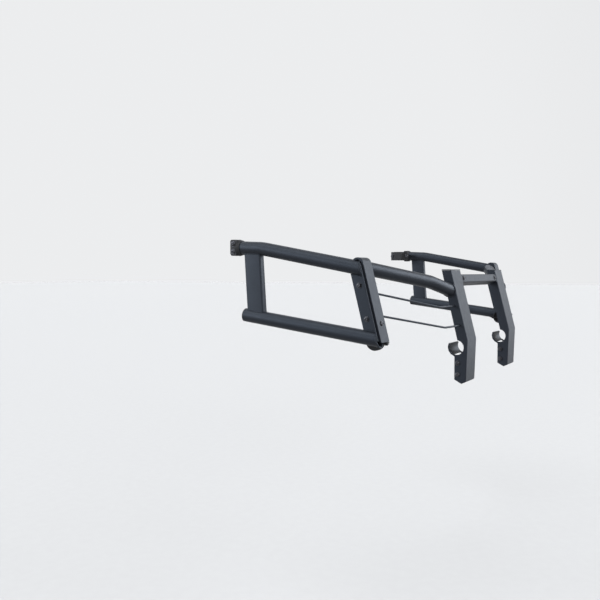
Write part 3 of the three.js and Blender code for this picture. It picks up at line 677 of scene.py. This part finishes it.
def bolt_head(seat, direction, size):
    """Button head with a hexagon socket, on a flat washer."""
    s = {key: value * MM for key, value in size.items()}
    rings = washer_rings(seat, direction, s["washer"], 0.15)
    for r, h in DOME:
        at = WASHER_THICKNESS + (s["high"] - WASHER_THICKNESS) * h
        rings.append(ring_round(seat + direction * at, direction, s["head"] * r, BOLT_SIDES))
    mouth = (0.0, s["socket"] + SOCKET_CHAMFER)
    for depth, flats in (mouth, (SOCKET_CHAMFER, s["socket"]), (s["deep"], s["socket"])):
        rings.append(hexagon(seat + direction * (s["high"] - depth), direction, flats))
    drill_point = s["high"] - s["deep"] - 0.5 * MM
    rings.append(ring_round(seat + direction * drill_point, direction, 0.3 * MM, BOLT_SIDES))
    bm = bmesh.new()
    loft(bm, rings, closed_ends=True)
    return bm


def shank(start, direction, length, size):
    """Threaded rod, pointed a little at its end."""
    radius = size["shank"] * MM
    root = radius * 0.87
    tip = radius * 0.8
    turns = max(2, int(length / THREAD_PITCH))
    profile = [(0, 0), (radius, 0)]
    for k in range(turns):
        base = length - (turns - k) * THREAD_PITCH
        profile += [(radius, base + 0.3 * THREAD_PITCH), (root, base + 0.7 * THREAD_PITCH)]
    profile += [(tip, length), (0, length)]
    return spun(profile, start, direction, sides=20)


def hex_nut(seat, direction, size):
    """Hexagon nut with both faces chamfered, on a flat washer, standing in a direction from its seat."""
    s = {key: value * MM for key, value in size.items()}
    top = s["tall"]
    face = s["nut"] * 0.97
    base = WASHER_THICKNESS
    rings = washer_rings(seat, direction, s["washer"], 0.2)
    rings += [
        ring_round(seat + direction * base, direction, face, BOLT_SIDES),
        hexagon(seat + direction * (base + NUT_CHAMFER), direction, s["nut"]),
        hexagon(seat + direction * (top - NUT_CHAMFER), direction, s["nut"]),
        ring_round(seat + direction * top, direction, face, BOLT_SIDES),
        ring_round(seat + direction * top, direction, s["shank"], BOLT_SIDES),
    ]
    bm = bmesh.new()
    loft(bm, rings, closed_ends=True)
    return bm


def fastener(node, direction, size=M8, has_nut=True):
    """A bolt along the axis of its CAD node, with its head at the end that the direction points to. Its nut
    is seated where the CAD's is: at the point nearest the head, past it, that lies outside a nut's flats."""
    points = [v.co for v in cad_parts[node].data.vertices]
    middle = sum(points, Vector()) / len(points)
    heights = [(p - middle).dot(direction) for p in points]
    near, far = max(heights), min(heights)
    seat = middle + direction * (near - size["high"] * MM)
    length = near - far - size["high"] * MM
    bm = bolt_head(seat, direction, size)
    merge(bm, shank(seat + direction * 0.2 * MM, -direction, length, size))
    if has_nut:
        nut = size["nut"] * MM
        below = near - PAST_HEAD
        wide = [h for p, h in zip(points, heights) if h < below and (p - middle - direction * h).length > nut]
        merge(bm, hex_nut(middle + direction * max(wide), -direction, size))
    add_piece(f"{node}_fine", bm, FASTENER, "fastener", node, sharp=28)


for side, out in (("left", 1), ("right", -1)):
    outwards = Vector((out, 0, 0))
    for place in ("upper", "lower"):
        fastener(f"upright_bolt_{place}_{side}", outwards)
        fastener(f"bracket_bolt_{place}_{side}", outwards)
        fastener(f"lug_bolt_{place}_{side}", outwards, has_nut=False)
    for place in ("front", "rear"):
        fastener(f"pillar_bolt_{place}_{side}", -outwards)
    fastener(f"crossbar_bolt_{side}", CROSSBAR_OUT)
    fastener(f"cover_bolt_{side}", COVER_OUT)
    fastener(f"saddle_bolt_{side}", Vector((0, 0, -1)), M6, has_nut=False)

# ----------------------------------------------------------------------------------------------------
# Weld beads
# ----------------------------------------------------------------------------------------------------


BEAD_STEP = 0.8 * MM
STEPS_PER_RIPPLE = 3
BEAD_SIDES = 8

# Radii of the beads
TUBE_BEAD = 2.6 * MM
POST_BEAD = 1.9 * MM
ROD_BEAD = 1.3 * MM


def resampled(points, spacing, closed):
    """Points at an even spacing along a line of points."""
    ends = points + [points[0]] if closed else points
    lengths = [0.0]
    for a, b in zip(ends, ends[1:]):
        lengths.append(lengths[-1] + (b - a).length)
    count = max(8, round(lengths[-1] / spacing))
    even = []
    i = 0
    for k in range(count if closed else count + 1):
        at = lengths[-1] * k / count
        while i < len(ends) - 2 and lengths[i + 1] < at:
            i += 1
        run = lengths[i + 1] - lengths[i]
        even.append(ends[i].lerp(ends[i + 1], (at - lengths[i]) / run if run else 0))
    return even


def bead(bm, points, radius, closed=True):
    """A rippled weld bead along a line. An open one narrows over its first and last two steps."""
    line = resampled(points, BEAD_STEP, closed)
    count = len(line)
    rings = []
    for i, point in enumerate(line):
        ahead = line[(i + 1) % count] if closed or i < count - 1 else point
        behind = line[i - 1] if closed or i > 0 else point
        direction = (ahead - behind).normalized()
        ripple = math.cos(2 * math.pi * i / STEPS_PER_RIPPLE)
        waver = math.sin(i * 0.37)
        swell = 1 + 0.13 * ripple + 0.05 * waver
        taper = 1 if closed else min(1, 0.4 + 0.3 * min(i, count - 1 - i))
        rings.append(ring_round(point, direction, radius * swell * taper, BEAD_SIDES))
    made = loft(bm, rings, closed_ends=not closed)
    if closed:
        for k in range(BEAD_SIDES):
            n = (k + 1) % BEAD_SIDES
            bm.faces.new((made[-1][k], made[-1][n], made[0][n], made[0][k]))


def flange_foot(corners, above, x, way):
    """A line along a tube where a flange of the front post meets it, a little off the flange's face."""
    a, b = Vector(corners[0]), Vector(corners[1])
    along = (b - a).normalized()
    out = Vector((0, -along.z, along.y)) * (1 if above else -1)
    off = way * 0.6 * MM
    across = x - a.x + off
    base = Vector((x + off, a.y, a.z)) + out * math.sqrt(TUBE_RADIUS**2 - across**2)
    front = onto_plane(base, along, WEB_PLANE)
    rear = onto_plane(base, along, cover_plane(BRACKET_DEPTH))
    return [front + along * 1.5 * MM, rear - along * 1.0 * MM]


def weld_beads():
    """All the beads of the +X side."""
    bm = bmesh.new()
    skin = TUBE_RADIUS + 0.4 * MM
    tube_ends = (
        (front_line, True, FLANGE_PLANE, 0.6 * MM),
        (front_line, False, UPRIGHT_PLANE, 0.6 * MM),
        (side_line, True, WEB_PLANE, 0.9 * MM),
        (lower_line, True, WEB_PLANE, 0.9 * MM),
    )
    for line, first, plane, back_off in tube_ends:
        bead(bm, tube_end(line, first, skin, 48, plane, back_off), TUBE_BEAD)
    for line in (upper_rod_line, lower_rod_line):
        for first, plane in ((True, FLANGE_PLANE), (False, UPRIGHT_PLANE)):
            bead(bm, tube_end(line, first, ROD_RADIUS, 16, plane, 0.4 * MM), ROD_BEAD)
    bead(bm, post_foot, POST_BEAD)
    bead(bm, post_head, POST_BEAD)
    for corners, above in ((SIDE_TUBE, False), (LOWER_TUBE, True)):
        for x, way in ((POST_FLANGE_X - SHEET, -1), (POST_FLANGE_X, 1)):
            bead(bm, flange_foot(corners, above, x, way), POST_BEAD, closed=False)
    return bm


beads = weld_beads()
for side, half in (("left", beads), ("right", mirrored(beads))):
    add_piece(f"weld_beads_{side}", half, COAT, "coat", sharp=60)

# ----------------------------------------------------------------------------------------------------
# Stage, light and camera
# ----------------------------------------------------------------------------------------------------


FLOOR_Z = -0.78  # the ground under the vehicle's tyres
FLOOR_HALF_WIDTH = 60
LAMP_DISTANCE = 5

LENS = 44.48  # mm, for a sensor 36 mm wide
CAMERA_PLACE = (-2.6716, -0.7706, 0.24875)
CAMERA_RIGHT = Vector((0.5003, -0.8658, 0.0))
CAMERA_AHEAD = Vector((0.8652, 0.5000, -0.0380)).normalized()


def pale_floor():
    """The ground that the vehicle would stand on, pale and plain."""
    material, nodes, links, shader = new_material("pale_floor")
    cloud = texture(nodes, links, scale=25, detail=3.0)
    shade = ramp(nodes, links, cloud, (0.3, 0.7))
    colour = blend_colours(nodes, links, shade, (0.350, 0.341, 0.332), (0.357, 0.348, 0.339))
    links.new(colour, shader.inputs["Base Color"])
    shader.inputs["Roughness"].default_value = 0.9
    shader.inputs["Specular IOR Level"].default_value = 0.1
    bm = bmesh.new()
    bmesh.ops.create_grid(bm, x_segments=8, y_segments=8, size=FLOOR_HALF_WIDTH)
    mesh = bpy.data.meshes.new("floor")
    bm.to_mesh(mesh)
    bm.free()
    mesh.materials.append(material)
    floor = bpy.data.objects.new("floor", mesh)
    floor.location.z = FLOOR_Z
    scene.collection.objects.link(floor)


def sky_light():
    """A pale sky all round, a little brighter towards the vehicle's rear left, the way the camera looks."""
    world = bpy.data.worlds.new("studio")
    scene.world = world
    world.use_nodes = True
    nodes, links = world.node_tree.nodes, world.node_tree.links
    place = nodes.new("ShaderNodeTexCoord")
    bearing = nodes.new("ShaderNodeVectorMath")
    bearing.operation = "DOT_PRODUCT"
    bearing.inputs[1].default_value = (0.55, 0.83, 0.0)
    links.new(place.outputs["Generated"], bearing.inputs[0])
    share = ramp(nodes, links, bearing.outputs["Value"], (0.1, 0.75))
    colour = blend_colours(nodes, links, share, (0.70, 0.705, 0.715), (0.84, 0.848, 0.858))
    links.new(colour, nodes["Background"].inputs["Color"])
    nodes["Background"].inputs["Strength"].default_value = 1.0


def soft_sun(name, towards, strength, spread, colour):
    """A wide, soft light from the direction given, over as many degrees of sky as its spread."""
    light = bpy.data.lights.new(name, "SUN")
    light.energy = strength
    light.angle = math.radians(spread)
    light.color = colour
    lamp = bpy.data.objects.new(name, light)
    lamp.location = Vector(towards) * LAMP_DISTANCE
    lamp.rotation_mode = "QUATERNION"
    lamp.rotation_quaternion = Vector(towards).to_track_quat("Z", "Y")
    scene.collection.objects.link(lamp)


def camera():
    """Looks at the guard from beside its front right corner, nearly level."""
    data = bpy.data.cameras.new("camera")
    data.sensor_width = 36
    data.lens = LENS
    data.clip_start, data.clip_end = 0.05, 200
    cam = bpy.data.objects.new("camera", data)
    right, ahead = CAMERA_RIGHT, CAMERA_AHEAD
    up = right.cross(ahead)
    x, y, z = CAMERA_PLACE
    cam.matrix_world = Matrix((
        (right.x, up.x, -ahead.x, x),
        (right.y, up.y, -ahead.y, y),
        (right.z, up.z, -ahead.z, z),
        (0, 0, 0, 1),
    ))
    scene.collection.objects.link(cam)
    scene.camera = cam


pale_floor()
sky_light()
soft_sun("front_sky", (0.62, -0.71, 0.33), 4.3, 44, (0.88, 0.93, 1.0))
soft_sun("side_sky", (-0.66, 0.73, 0.20), 4.6, 46, (0.86, 0.92, 1.0))
soft_sun("near_sky", (-0.47, -0.82, 0.33), 2.2, 26, (0.92, 0.96, 1.0))
soft_sun("overhead", (-0.38, 0.22, 0.90), 2.4, 42, (0.90, 0.95, 1.0))
soft_sun("back_sky", (0.70, 0.45, 0.55), 0.45, 40, (0.82, 0.88, 1.0))
camera()
scene.view_settings.view_transform = "Standard"
